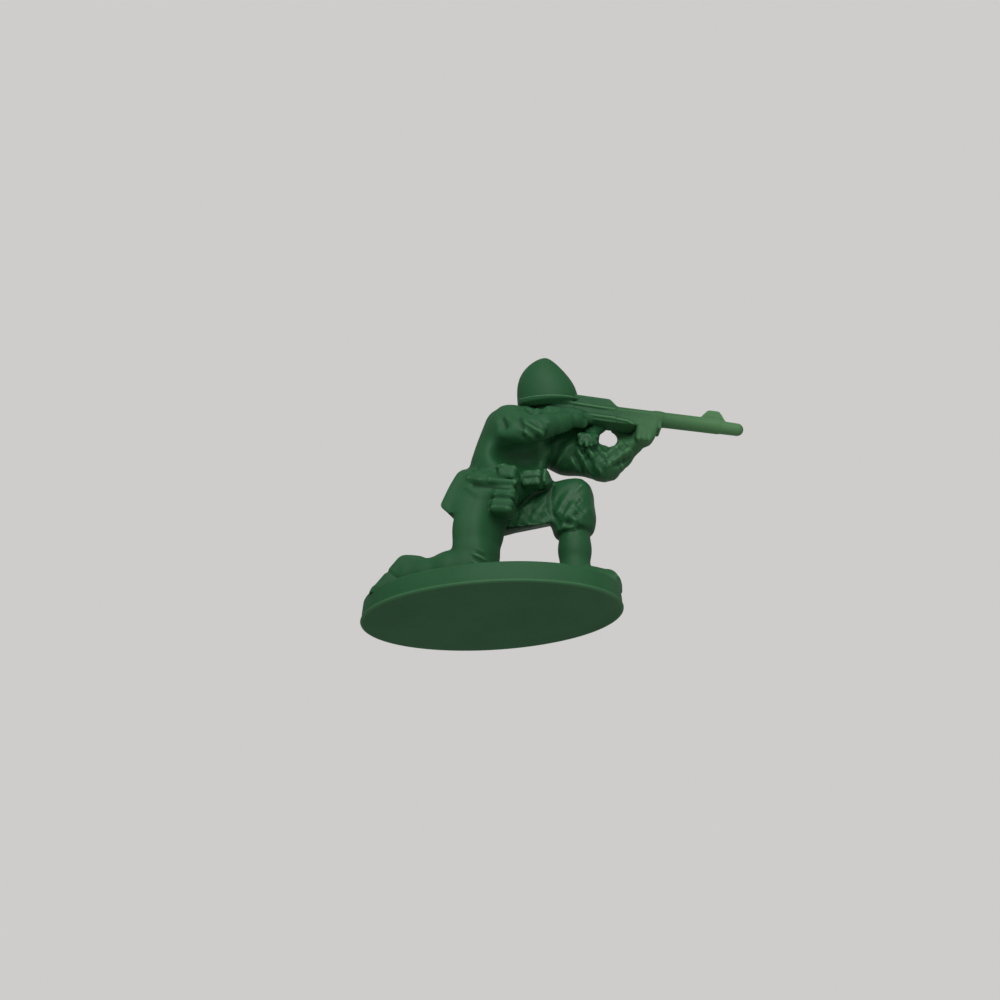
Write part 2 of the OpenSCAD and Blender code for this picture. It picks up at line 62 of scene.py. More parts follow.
BASE_L, BASE_W, BASE_T = 26.8, 16.8, 2.4
THIGH, TORSO, HALF_SHOULDERS, NECK = 8.2, 6.8, 2.8, 3.4
HIP_SPREAD = 4.8
ANKLE_HEIGHT = 4.5
KNEE_R = vec(-1.0, -3.2, 4.29)
HIP_R = KNEE_R + THIGH * heading(0, 82)
HIP_L = HIP_R + vec(0, HIP_SPREAD, 0)
PELVIS = HIP_R + vec(0, HIP_SPREAD / 2, 0)
KNEE_L = HIP_L + THIGH * heading(0, 4)
ANKLE_L = vec(KNEE_L[0], KNEE_L[1], ANKLE_HEIGHT)
ANKLE_R = vec(KNEE_R[0] - 6.2, KNEE_R[1], ANKLE_HEIGHT)
WAIST = PELVIS + vec(1.044, 0, 1.8)
CHEST = WAIST + TORSO * heading(0, 66)
TWIST = math.radians(27)
ACROSS = vec(math.sin(TWIST), math.cos(TWIST), 0)
SHOULDER_R = CHEST - HALF_SHOULDERS * ACROSS
SHOULDER_L = CHEST + HALF_SHOULDERS * ACROSS
HEAD = CHEST + NECK * vec(0.72, 0.03, 0.72)
HELMET = HEAD + vec(0, 0, 1.17)
BUTT = SHOULDER_R + 3.7 * vec(0.47, 0.2, 0.7)
RIFLE_YAW, RIFLE_DIP = 19, 5.5
AIM = heading(RIFLE_YAW, -RIFLE_DIP)
LEFT = vec(-math.sin(math.radians(RIFLE_YAW)), math.cos(math.radians(RIFLE_YAW)), 0)
RISE = np.cross(AIM, LEFT)


def on_aim(reach, up=0.0, left=0.0):
    """A place on the rifle, measured along its line from the butt."""
    return BUTT + reach * AIM + up * RISE + left * LEFT


HAND_L = on_aim(12.4, -2.25)
ELBOW_L = SHOULDER_L + 0.6 * (HAND_L - SHOULDER_L) + vec(0, 0.83, -2.8)
FOREARM_L = HAND_L - ELBOW_L


# Rounded fields: each gives the distance outside its form, in millimetres
def length(v):
    return np.sqrt(np.einsum("...i,...i->...", v, v))


def smooth(a, b, k):
    """Two forms as one, with a soft join."""
    h = np.maximum(k - np.abs(a - b), 0) / k
    return np.minimum(a, b) - h * h * k * 0.25


def carve(a, b, k):
    """The first form without the second."""
    return -smooth(-a, b, k)


def cone(p, a, b, ra, rb, squash=(1, 1, 1)):
    """A rod with round ends, from one place and radius to another, stretched by squash."""
    s = np.array(squash, float)
    q, a, b = p / s, np.asarray(a) / s, np.asarray(b) / s
    ab = b - a
    h = np.clip(((q - a) @ ab) / (ab @ ab + 1e-9), 0, 1)
    return (length(q - a - h[..., None] * ab) - (ra + (rb - ra) * h)) * s.min()


def bar(p, a, b, ra, rb, squash=(1, 1, 1)):
    """Like a cone, with flat sides and rounded corners."""
    s = np.array(squash, float)
    q, a, b = p / s, np.asarray(a) / s, np.asarray(b) / s
    ab = b - a
    h = np.clip(((q - a) @ ab) / (ab @ ab + 1e-9), 0, 1)
    e = q - a - h[..., None] * ab
    e = e * e
    return (np.sqrt(np.sqrt(np.einsum("...i,...i->...", e, e))) - (ra + (rb - ra) * h)) * s.min()


def ball(p, c, r, axes=None):
    """A ball with a radius for each axis."""
    q = p - np.asarray(c)
    if axes is not None:
        q = q @ np.asarray(axes).T
    r = np.array(r, float)
    k0 = length(q / r)
    k1 = length(q / (r * r)) + 1e-9
    return k0 * (k0 - 1) / k1


def block(p, c, half, axes=None, soft=0.15):
    """A box with its half sizes, on axes of its own, with soft edges."""
    q = p - np.asarray(c)
    if axes is not None:
        q = q @ np.asarray(axes).T
    q = np.abs(q) - np.array(half, float) + soft
    return length(np.maximum(q, 0)) + np.minimum(q.max(-1), 0) - soft


def both(a, b, k):
    """What two forms share, with a soft edge."""
    return -smooth(-a, -b, k)


def chain(p, stations, k=0.6, squash=(1, 1, 1), link=cone):
    """Cones or bars from station to station, each a place and a radius."""
    d = None
    for (a, ra), (b, rb) in zip(stations, stations[1:]):
        e = link(p, a, b, ra, rb, squash)
        d = e if d is None else smooth(d, e, k)
    return d


def plane(p, c, n):
    """The distance past a plane through a place, measured the given way."""
    n = np.asarray(n, float)
    return (p - np.asarray(c)) @ (n / np.linalg.norm(n))


def trim(p, d, cuts):
    """Takes off what lies beyond planes, each given as a place, the way out, and its soft edge."""
    for place, out, soft in cuts:
        d = both(d, plane(p, place, out), soft)
    return d


def overlaps(lo, hi, lo2, hi2):
    return np.all(lo < hi2) and np.all(lo2 < hi)


def base_field(p):
    """The top of the base, with its sloping side."""
    inset = 0.5
    reach = np.array([BASE_L / 2 - inset, BASE_W / 2 - inset])
    out = length(p[..., :2] / reach) + 1e-9
    return np.maximum((out - 1) * reach.min(), p[..., 2] - BASE_T)


def tilted(pitch, roll):
    """Axes turned by two angles in degrees: pitch about Y and roll about X."""
    a, b = math.radians(pitch), math.radians(roll)
    turn = Matrix.Rotation(a, 3, "Y") @ Matrix.Rotation(b, 3, "X")
    return np.array(turn.transposed())


# The camera stands 13 degrees round from the figure's right side and 27 degrees below it.
# ASIDE and OVER are the picture's right and up, for the edges that the photograph shows.
PHOTO_TURN, PHOTO_DROP = 13, 27
ASIDE = heading(PHOTO_TURN, 0)
OVER = np.cross(ASIDE, heading(90 + PHOTO_TURN, PHOTO_DROP))
RIFLE_AXES = np.array([AIM, LEFT, RISE])
BELT_AXES = tilted(14, 6)

# The head leans to the stock by TILT, and the helmet's dome and rim have these half sizes
TILT = math.radians(14)
HELM_AXES = np.array([[1, 0, 0], [0, math.cos(TILT), math.sin(TILT)], [0, -math.sin(TILT), math.cos(TILT)]])
HELM_SIZE = np.array([3.12, 2.7, 4.8])
RIM_SIZE = np.array([3.3, 2.88])
FACE_F = heading(17, -4)
FACE_L0 = np.cross(vec(0, 0, 1), FACE_F)
FACE_L0 /= np.linalg.norm(FACE_L0)
FACE_U0 = np.cross(FACE_F, FACE_L0)
FACE_L = math.cos(TILT) * FACE_L0 + math.sin(TILT) * FACE_U0
FACE_U = np.cross(FACE_F, FACE_L)
FACE_AXES = np.array([FACE_F, FACE_L, FACE_U])


def face(f, left, up):
    """A place on the head: forward, to its left and up."""
    return HEAD + f * FACE_F + left * FACE_L + up * FACE_U


# The forms, one for each node of the part
def right_boot(p):
    d = block(p, (-8.75, -3.2, 3.8), (3.0, 1.35, 2.15), None, 0.55)
    d = trim(p, d, [((-8.35, 0, 5.85), (-0.76, 0, 0.65), 0.5), ((-6.25, 0, 5.6), (0.35, 0, 1), 0.6)])
    heel = plane(p, (-10.0, 0, 4.45), (-0.65, 0, -0.76))
    return d + 0.1 * np.exp(-(heel / 0.22) ** 2)


def right_shin(p):
    return chain(p, [(vec(-1.8, -3.2, 3.9), 2.1), (vec(-3.4, -3.2, 3.95), 2.0),
                     (vec(-5.75, -3.2, 3.75), 1.6), (vec(-7.6, -3.2, 3.85), 1.5)], 0.6)


def right_knee(p):
    d = chain(p, [(vec(-0.78, -3.2, 4.5), 1.98), (vec(-0.8, -3.2, 2.4), 2.08)], 0.6, (1.0, 0.98, 1), bar)
    return both(d, plane(p, (0.6, -4.7, 4.5), (0.86, -0.5, 0)), 0.9)


def right_thigh(p):
    d = chain(p, [(HIP_R + vec(-0.05, 0.3, -1.7), 2.15), (vec(-0.42, -3.1, 9.2), 2.1),
                  (vec(-0.72, -3.2, 7.2), 2.0), (vec(-0.78, -3.2, 4.8), 1.98)], 0.8, (1.02, 0.98, 1), bar)
    d = smooth(d, cone(p, HIP_R + vec(1.3, 0.7, -0.8), vec(0.95, -2.7, 8.9), 1.5, 1.05), 0.7)
    return both(d, plane(p, (0.55, -4.7, 8), (0.86, -0.5, -0.1)), 0.9)


def left_boot(p):
    d = chain(p, [(ANKLE_L + vec(0.0, 0, -0.2), 1.5), (ANKLE_L + vec(1.8, 0, -0.75), 1.3),
                  (ANKLE_L + vec(3.3, 0, -0.95), 1.2)], 0.5, (1, 1.05, 1))
    sole = block(p, ANKLE_L + vec(1.35, 0, -1.45), (3.3, 1.3, 0.75), None, 0.45)
    return smooth(d, sole, 0.4)


def left_shin(p):
    return chain(p, [(vec(8.4, 1.6, 10.4), 1.6), (vec(8.36, 1.6, 7.3), 1.52),
                     (vec(8.36, 1.6, 4.6), 1.5), (vec(8.3, 1.6, 3.0), 1.66)], 0.8)


def left_knee(p):
    d = chain(p, [(KNEE_L + vec(-0.05, 0, 0.02), 2.03), (KNEE_L + vec(-0.05, 0, -2.4), 2.12),
                  (KNEE_L + vec(-0.05, 0, -3.4), 1.98)], 0.8)
    return both(d, plane(p, (8.3, 0, 8.95), (0.12, 0, -1)), 0.5)


def left_thigh(p):
    d = chain(p, [(HIP_L + vec(0.4, 0, -0.7), 2.75), (HIP_L + vec(3.4, 0, -0.4), 2.7),
                  (KNEE_L + vec(-0.5, 0, -0.4), 2.3)], 0.8, (1, 0.8, 1), bar)
    lower_edge = 0.983 * ASIDE + 0.181 * OVER
    inward = np.cross(OVER, ASIDE) * 0.989 + OVER * -0.1
    return both(d, plane(p, (4.2, -0.4, 9.5), np.cross(lower_edge, -inward)), 0.25)


def hips(p):
    d = cone(p, HIP_R + vec(0.2, 0.2, 0), HIP_L + vec(0.2, -0.2, 0), 2.45, 2.35, (1.2, 1, 1))
    return smooth(d, ball(p, PELVIS + vec(-0.4, 0, 0.6), (2.9, 3.8, 2.4)), 0.6)


def skirt(p):
    return ball(p, WAIST + vec(-0.65, -0.1, -1.2), (3.35, 4.0, 1.9))


def belt(p):
    q = (p - WAIST + vec(0.75, 0, 0.75)) @ BELT_AXES.T
    out = (length(q[..., :2] / np.array([2.85, 4.5])) - 1) * 3.5
    over = np.abs(q[..., 2]) - 0.26
    d = length(np.stack([np.maximum(out - 0.05, 0), np.maximum(over, 0)], -1)) - 0.18
    kit = block(p, (2.8, -4.25, 13.65), (0.95, 0.95, 0.8), tilted(12, 0), 0.45)
    knob = ball(p, (2.25, -4.75, 14.3), (0.55, 0.45, 0.35))
    strap = chain(p, [((1.2, -5.4, 12.6), 0.3), ((3.5, -5.0, 12.3), 0.3), ((3.6, -4.0, 13.1), 0.25)], 0.1)
    return smooth(smooth(d, strap, 0.2), smooth(kit, knob, 0.2), 0.15)


def jacket(p):
    d = None
    for share, fwd, rx, ry in ((0.0, 0.2, 3.3, 3.75), (0.2, 0.15, 3.45, 3.6), (0.42, -0.05, 3.55, 3.3),
                               (0.64, -0.4, 3.5, 3.3), (0.84, -0.5, 3.1, 3.3)):
        e = ball(p, WAIST + (CHEST - WAIST) * share + vec(fwd, 0, 0), (rx, ry, 2.25))
        d = e if d is None else smooth(d, e, 1.6)
    yoke = chain(p, [(SHOULDER_R + vec(0, 0.3, -0.3), 1.8), (CHEST + vec(-0.5, -0.3, -0.3), 1.95),
                     (SHOULDER_L + vec(0.1, 0, -0.3), 1.85)], 0.8)
    d = smooth(d, yoke, 1.2)
    flank = cone(p, vec(1.95, -2.5, 20.0), vec(0.75, -2.7, 15.9), 1.95, 2.0)
    d = smooth(d, flank, 0.9)
    return carve(d, ball(p, (4.5, -5.6, 16.2), (3.4, 4.2, 2.4)), 0.8)


def collar(p):
    mid = CHEST + 0.3 * (HEAD - CHEST) + vec(-0.15, 0, 0.1)
    return ball(p, mid, (2.3, 2.2, 1.35), [heading(0, -38), vec(0, 1, 0), heading(0, 52)])


def head(p):
    d = ball(p, face(-0.05, 0, 0.5), (1.95, 1.62, 2.1), FACE_AXES)
    jaw = ball(p, face(0.55, 0, -0.55), (1.3, 1.2, 1.2), FACE_AXES)
    chin = ball(p, face(1.25, 0, -1.2), (0.55, 0.6, 0.42), FACE_AXES)
    neck = cone(p, CHEST + vec(0.7, 0, 0.6), face(-0.5, 0, -0.6), 1.5, 1.35)
    d = smooth(smooth(smooth(d, jaw, 0.5), chin, 0.35), neck, 0.4)
    for side in (-1, 1):
        socket = ball(p, face(2.05, side * 0.72, 0.1), (0.42, 0.5, 0.3), FACE_AXES)
        eye = ball(p, face(1.62, side * 0.68, 0.08), (0.3, 0.34, 0.2), FACE_AXES)
        brow = cone(p, face(1.85, side * 0.3, 0.42), face(1.5, side * 1.2, 0.36), 0.16, 0.14)
        cheek = ball(p, face(1.45, side * 0.95, -0.35), (0.45, 0.4, 0.35), FACE_AXES)
        ear = ball(p, face(-0.15, side * 1.62, -0.1), (0.42, 0.2, 0.62), FACE_AXES)
        hollow = ball(p, face(-0.1, side * 1.81, -0.08), (0.2, 0.14, 0.34), FACE_AXES)
        d = smooth(carve(d, socket, 0.25), eye, 0.1)
        d = smooth(smooth(d, brow, 0.25), cheek, 0.3)
        d = smooth(d, carve(ear, hollow, 0.1), 0.12)
    bridge = cone(p, face(1.8, 0, 0.3), face(2.28, 0, -0.38), 0.14, 0.22)
    nostrils = cone(p, face(1.95, -0.22, -0.46), face(1.95, 0.22, -0.46), 0.13, 0.13)
    upper_lip = cone(p, face(1.68, -0.36, -0.78), face(1.68, 0.36, -0.78), 0.12, 0.12)
    lower_lip = cone(p, face(1.64, -0.3, -0.96), face(1.64, 0.3, -0.96), 0.13, 0.13)
    d = smooth(smooth(d, bridge, 0.22), nostrils, 0.12)
    return smooth(smooth(d, upper_lip, 0.08), lower_lip, 0.08)


def helmet_point(p):
    """Places as the tilted helmet has them, from its middle."""
    return (p - HELMET) @ HELM_AXES.T


def helmet_dome(p):
    q = helmet_point(p)
    z = q[..., 2] + 0.4
    h = np.clip(z / HELM_SIZE[2], 0, 1)
    taper = 1.02 - 0.14 * h ** 3
    x = q[..., 0] + 0.2 + 2.0 * h * h * (1 - h)
    q = np.stack([x / taper, q[..., 1] / taper, np.maximum(z, 0)], -1)
    k0 = length(q / HELM_SIZE)
    k1 = length(q / (HELM_SIZE * HELM_SIZE)) + 1e-6
    d = both(k0 * (k0 - 1) / k1, plane(p, (7.6, 0, 27.3), (0.72, 0, 0.69)), 0.5)
    return np.maximum(d, -z - 0.3)


def helmet_rim(p):
    q = helmet_point(p)
    x = q[..., 0] + 0.2
    z = q[..., 2] + 0.04 * x
    flare = (length(np.stack([x, q[..., 1]], -1) / RIM_SIZE) - 1) * 3.0 - 0.12
    under = 0.62 * flare - 0.78 * (z + 0.75 - 0.06 * x)
    d = both(np.maximum(flare, z + 0.45), under, 0.15)
    d = np.maximum(d, -z - 1.2) - 0.06
    back_end = 2.78 - p @ ASIDE
    return both(d, back_end, 0.2)


def right_upper_arm(p):
    d = chain(p, [(SHOULDER_R + vec(0.25, 0.1, -0.45), 1.75), (vec(2.5, -4.0, 19.1), 1.5),
                  (vec(4.4, -4.5, 18.4), 1.25)], 0.9)
    d = smooth(d, cone(p, SHOULDER_R + vec(0.5, -0.1, -0.5), vec(5.4, -4.1, 18.75), 1.5, 1.1), 0.8)
    d = smooth(d, cone(p, vec(3.7, -2.5, 21.2), vec(6.3, -2.9, 20.6), 0.8, 0.75), 0.5)
    return smooth(d, cone(p, vec(2.7, -5.2, 17.8), vec(6.2, -4.9, 17.9), 0.55, 0.6), 0.6)


def right_forearm(p):
    d = chain(p, [(vec(4.6, -4.5, 18.45), 1.25), (vec(6.5, -3.8, 19.05), 1.12),
                  (vec(8.3, -2.6, 20.0), 0.95)], 0.7)
    cuff = cone(p, vec(7.7, -3.0, 19.6), vec(8.25, -2.6, 19.95), 1.08, 1.04)
    d = smooth(d, cuff, 0.12)
    return smooth(d, cone(p, on_aim(2.4, -1.7, -0.9), on_aim(5.4, -1.4, -0.6), 0.75, 0.7), 0.5)


def hand_gap(p):
    """The opening between the trigger hand and the far arm, as seen from the photograph's side."""
    q = p - vec(12.4, 0.5, 19.1)
    k = length(np.stack([q @ ASIDE, q @ OVER], -1) / np.array([1.0, 0.82]))
    return (k - 1) * 0.88


def right_hand(p):
    d = chain(p, [(vec(8.4, -2.4, 20.1), 0.82), (vec(9.3, -1.8, 20.45), 0.66),
                  (vec(10.0, -1.2, 20.3), 0.5)], 0.4)
    d = smooth(d, cone(p, on_aim(4.6, -1.4, -0.6), on_aim(6.6, -1.3, -0.3), 0.7, 0.55), 0.3)
    grip = block(p, (10.2, 0.0, 18.85), (1.05, 0.8, 0.75), RIFLE_AXES, 0.5)
    d = smooth(smooth(d, grip, 0.3), cone(p, vec(10.3, 0.6, 19.6), vec(11.1, 1.1, 20.8), 0.95, 0.85), 0.3)
    for finger in range(3):
        a = vec(9.55 + 0.5 * finger, -0.75 + 0.12 * finger, 19.2 - 0.1 * finger)
        d = smooth(d, cone(p, a, a + vec(0.15, 0.1, -0.9), 0.26, 0.2), 0.12)
    return carve(d, hand_gap(p), 0.25)


def left_upper_arm(p):
    d = chain(p, [(SHOULDER_L + vec(0.1, 0, -0.4), 2.3), (SHOULDER_L + vec(2.4, 0.3, -1.75), 2.05),
                  (ELBOW_L + vec(-0.3, 0, 0.1), 1.62), (ELBOW_L, 1.58)], 0.8)
    d = smooth(d, cone(p, SHOULDER_L + vec(2.6, 0, -0.2), vec(10.6, 0.9, 18.1), 1.6, 0.9), 0.7)
    d = smooth(d, cone(p, SHOULDER_L + vec(2.4, 0, 0.2), vec(9.9, 1.1, 19.9), 1.5, 1.0), 0.5)
    return carve(d, hand_gap(p), 0.25)


def left_forearm(p):
    d = chain(p, [(ELBOW_L + vec(0.1, 0, 0), 1.58),
                  (ELBOW_L + 0.35 * FOREARM_L + vec(-0.15, 0.3, 0.15), 1.4),
                  (ELBOW_L + 0.72 * FOREARM_L + vec(-0.4, 1.3, 0.5), 0.95)], 0.8)
    web = chain(p, [(vec(12.6, 2.2, 17.9), 1.0), (vec(13.5, 3.3, 19.8), 1.05),
                    (vec(14.2, 3.6, 21.5), 1.1)], 0.3)
    web = smooth(web, cone(p, vec(12.9, 2.9, 21.0), vec(14.2, 3.3, 21.3), 0.75, 0.9), 0.3)
    d = smooth(d, web, 0.4)
    low_knob = ball(p, (13.9, 1.5, 17.9), (0.75, 0.6, 0.5))
    high_knob = ball(p, (14.5, 1.9, 18.9), (0.7, 0.6, 0.55))
    return carve(smooth(d, smooth(low_knob, high_knob, 0.2), 0.35), hand_gap(p), 0.25)


def left_hand(p):
    d = block(p, on_aim(12.7, -1.8, 0.2), (1.2, 1.0, 1.35), RIFLE_AXES, 0.45)
    d = smooth(d, cone(p, vec(15.3, 2.0, 19.7), vec(16.2, 2.2, 19.75), 0.75, 0.62), 0.3)
    wrist = chain(p, [(on_aim(12.4, -2.2, 0.9), 0.85),
                      (HAND_L - 0.3 * FOREARM_L + vec(-0.1, 1.0, 0.45), 0.88),
                      (HAND_L - 0.45 * FOREARM_L + vec(-0.1, 0.9, 0.4), 0.95)], 0.4)
    d = smooth(d, wrist, 0.35)
    for finger in range(4):
        a = on_aim(11.85 + 0.55 * finger, -2.95, -0.58)
        d = smooth(d, cone(p, a, a + 1.0 * RISE + 0.1 * LEFT, 0.28, 0.14), 0.25)
    return both(d, plane(p, (17.2, 1.0, 19.0), 0.87 * ASIDE - 0.49 * OVER), 0.7)


def rifle_stock(p):
    d = block(p, on_aim(2.3, -0.85, 0.2), (2.6, 1.0, 1.0), RIFLE_AXES, 0.25)
    toe = block(p, on_aim(0.9, -1.5), (1.1, 0.78, 1.1), RIFLE_AXES, 0.25)
    d = smooth(d, toe, 0.6)
    d = both(d, plane(p, on_aim(2.6, 0, -0.85), -0.6 * AIM - 0.8 * LEFT), 0.4)
    bead = cone(p, on_aim(2.6, -0.05, -0.78), on_aim(5.0, 0.0, -0.78), 0.14, 0.15)
    return smooth(d, bead, 0.12)


def rifle_receiver(p):
    d = block(p, on_aim(6.7, -0.72, 0.25), (2.6, 1.02, 0.86), RIFLE_AXES, 0.16)
    bead = cone(p, on_aim(3.6, 0.0, -0.76), on_aim(9.0, -0.1, -0.78), 0.15, 0.15)
    low = cone(p, on_aim(3.6, -1.1, -0.74), on_aim(9.1, -1.15, -0.78), 0.17, 0.17)
    return smooth(smooth(d, bead, 0.1), low, 0.12)


def receiver_cover(p):
    d = block(p, on_aim(6.8, 0.45, 0.1), (2.9, 0.66, 0.82), RIFLE_AXES, 0.2)
    return both(d, plane(p, on_aim(8.6, 1.2), RISE + 0.95 * AIM), 0.15)


def rifle_fore_end(p):
    d = block(p, on_aim(11.35, -0.72, 0.25), (2.75, 1.0, 0.84), RIFLE_AXES, 0.18)
    bead = cone(p, on_aim(8.6, -0.1, -0.72), on_aim(14.0, -0.02, -0.72), 0.15, 0.12)
    low = chain(p, [(on_aim(8.9, -1.15, -0.76), 0.16), (on_aim(10.4, -1.25, -0.78), 0.16),
                    (on_aim(11.1, -1.5, -0.8), 0.15)], 0.1)
    return smooth(smooth(d, bead, 0.1), low, 0.12)


def rifle_barrel(p):
    d = cone(p, on_aim(8.6, -0.24), on_aim(19.9, -0.03), 0.82, 0.8)
    d = smooth(d, cone(p, on_aim(20.0, -0.08), on_aim(22.1, -0.08), 0.7, 0.66), 0.12)
    band = cone(p, on_aim(13.5, -0.15), on_aim(13.9, -0.14), 0.88, 0.88)
    return smooth(d, band, 0.1)


def front_sight(p):
    d = block(p, on_aim(19.5, 0.9), (1.25, 0.4, 0.74), RIFLE_AXES, 0.16)
    return trim(p, d, [(on_aim(20.4, 1.2), RISE + 1.5 * AIM, 0.2),
                       (on_aim(18.55, 1.2), RISE - 1.2 * AIM, 0.2)])


def ribbed_pouch(p):
    q = (p - vec(2.35, -4.3, 10.5)) @ tilted(10, 0).T
    d = block(q, (0, 0, 0), (1.18, 1.2, 1.5), None, 0.6)
    for height, width, depth in ((0.1, 0.22, 0.22), (-0.8, 0.15, 0.06)):
        d = d + depth * np.exp(-((q[..., 2] - height) / width) ** 2)
    return d


def small_pouch(p):
    d = block(p, (4.85, -2.5, 13.6), (0.95, 0.8, 0.75), None, 0.3)
    flap = block(p, (4.95, -2.6, 14.0), (0.95, 0.84, 0.42), None, 0.25)
    hem = block(p, (5.6, -0.7, 14.2), (0.86, 1.4, 0.88), None, 0.4)
    ridge = cone(p, vec(6.0, -2.1, 13.7), vec(6.1, -2.0, 14.9), 0.2, 0.2)
    return smooth(smooth(smooth(d, flap, 0.1), hem, 0.25), ridge, 0.15)


def canteen(p):
    d = block(p, (-3.4, -2.05, 13.1), (2.6, 2.95, 3.55), None, 0.3)
    return trim(p, d, [((-4.6, -3.0, 11.7), -ASIDE, 0.3),
                       ((-4.0, -3.0, 12.9), -0.904 * ASIDE + 0.428 * OVER, 0.2),
                       ((-3.0, -3.0, 14.9), -0.8 * ASIDE + 0.6 * OVER, 0.3),
                       ((-3.8, -3.0, 10.7), -0.646 * ASIDE - 0.763 * OVER, 0.3),
                       ((0, -0.8, 16.7), (0, -0.505, 0.863), 0.3)])


def about(points, reach):
    """The lowest and highest corner of the box that holds the points, with some room."""
    a = np.array(points)
    return a.min(0) - reach, a.max(0) + reach


# Each form: its node, its field, its box, and how softly it joins what comes before it
FORMS = [
    ("hips", hips, about([HIP_R, HIP_L], 3.4), 0.4),
    ("right_thigh", right_thigh, about([HIP_R, KNEE_R], 3.2), 0.6),
    ("right_knee", right_knee, about([KNEE_R, KNEE_R - vec(0, 0, 1.8)], 2.3), 0.6),
    ("right_shin", right_shin, about([KNEE_R, ANKLE_R], 2.3), 0.5),
    ("right_boot", right_boot, about([vec(-11.9, -3.2, 2.4), vec(-5.9, -3.2, 6.2)], 1.6), 0.35),
    ("left_thigh", left_thigh, about([HIP_L, KNEE_L], 2.4), 0.7),
    ("left_knee", left_knee, about([KNEE_L, KNEE_L - vec(0, 0, 4)], 2.4), 0.7),
    ("left_shin", left_shin, about([KNEE_L, ANKLE_L - vec(0, 0, 1.2)], 2.2), 0.12),
    ("left_boot", left_boot, about([ANKLE_L - vec(1.5, 0, 2), ANKLE_L + vec(3.6, 0, 0)], 1.8), 0.25),
    ("jacket_skirt", skirt, about([WAIST - vec(0.45, 0, 0.9)], 4.2), 0.35),
    ("jacket", jacket, about([WAIST, CHEST, SHOULDER_R, SHOULDER_L], 3.9), 0.3),
    ("belt", belt, about([WAIST], 4.9), 0.2),
    ("collar", collar, about([CHEST, HEAD], 2.2), 0.35),
    ("left_upper_arm", left_upper_arm, about([SHOULDER_L, ELBOW_L], 2.4), 0.6),
    ("left_forearm", left_forearm, about([ELBOW_L, HAND_L], 2.0), 0.5),
    ("right_upper_arm", right_upper_arm, about([SHOULDER_R, vec(4.4, -4.6, 17.4)], 2.2), 0.8),
    ("right_forearm", right_forearm, about([vec(4.6, -4.6, 17.4), vec(8.3, -2.6, 19.5)], 1.7), 0.6),
    ("head", head, about([HEAD, CHEST], 2.9), 0.25),
    ("helmet", helmet_dome, about([HELMET - vec(0, 0, 0.6), HELMET + vec(0, 0, 2.5)], 3.4), 0.1),
    ("helmet_rim", helmet_rim, about([HELMET], 3.9), 0.06),
    ("right_hand", right_hand, about([vec(8.3, -2.4, 19.6), vec(10.8, -0.5, 18.0)], 1.3), 0.2),
    ("left_hand", left_hand,
     about([HAND_L, on_aim(10.6, -1.7), on_aim(14, -1.7), HAND_L - 0.4 * FOREARM_L], 1.7), 0.35),
    ("rifle_stock", rifle_stock, about([BUTT, on_aim(5, -1.5)], 1.9), 0.25),
    ("rifle_receiver", rifle_receiver, about([on_aim(4), on_aim(9.2, -0.6)], 1.4), 0.1),
    ("receiver_cover", receiver_cover, about([on_aim(4, 0.5), on_aim(9.6, 0.5)], 1.3), 0.1),
    ("rifle_fore_end", rifle_fore_end, about([on_aim(8.7, -0.5), on_aim(13.7, -0.5)], 1.4), 0.12),
    ("rifle_barrel", rifle_barrel, about([on_aim(8.6), on_aim(22)], 1.2), 0.15),
    ("front_sight", front_sight, about([on_aim(18.3, 0.6), on_aim(20.4, 0.6)], 1.1), 0.2),
    ("ribbed_pouch", ribbed_pouch, about([vec(2.35, -4.3, 10.5)], 2.4), 0.5),
    ("small_pouch", small_pouch, about([vec(4.3, -3, 13.3), vec(6.4, 0.6, 15)], 0.7), 0.25),
    ("canteen", canteen, about([vec(-2.6, -2.2, 13.8)], 3.8), 0.6),
]

# Rows of soft folds: middle, reach, direction across the folds, spacing, depth, where they start
WRINKLES = [
    (vec(4.3, -0.6, 10.9), 2.0, vec(0.83, 0.1, -0.55), 1.3, 0.07, 0.4),
    (vec(8.0, -0.3, 11.0), 2.1, vec(0.8, 0.1, -0.6), 1.3, 0.08, 1.0),
    (vec(8.4, -0.2, 9.4), 1.2, vec(0.2, 0.1, 1), 1.2, 0.12, 0.0),
    (vec(10.2, 0.4, 17.2), 2.0, vec(0.9, 0.1, 0.45), 1.15, 0.17, 0.5),
    (vec(13.2, 0.9, 17.3), 1.6, vec(0.6, 0.2, -0.75), 1.0, 0.13, 2.0),
    (vec(7.2, -0.4, 17.6), 1.8, vec(0.75, 0.2, -0.6), 1.3, 0.14, 1.2),
    (vec(3.2, -5.6, 18.4), 1.7, vec(0.97, 0.1, 0.2), 1.6, 0.1, 2.4),
    (vec(5.6, -5.4, 17.6), 1.3, vec(0.55, 0.0, 0.83), 1.0, 0.1, 0.3),
    (vec(1.3, -5.0, 21.2), 1.6, vec(0.8, 0.0, -0.6), 1.5, 0.06, 0.0),
    (vec(0.2, -5.4, 4.2), 1.0, vec(0.3, 0.2, 0.95), 0.85, 0.12, 1.5),
    (vec(-0.4, -5.2, 12.4), 1.6, vec(0.5, 0.0, 0.86), 1.3, 0.06, 0.9),
]


def wrinkles(p, lo, hi):
    total = np.zeros(p.shape[:3], np.float32)
    for middle, reach, across, spacing, depth, phase in WRINKLES:
        if not overlaps(middle - 2 * reach, middle + 2 * reach, lo, hi):
            continue
        q = p - middle
        a = q @ (across / np.linalg.norm(across))
        bend = 0.5 * np.sin(q[..., 0] * 1.9 + phase) + 0.5 * np.sin(q[..., 2] * 2.3 - phase)
        wave = np.cos(2 * math.pi * a / spacing + bend + phase)
        total += depth * wave * np.exp(-(length(q) / reach) ** 4)
    return total


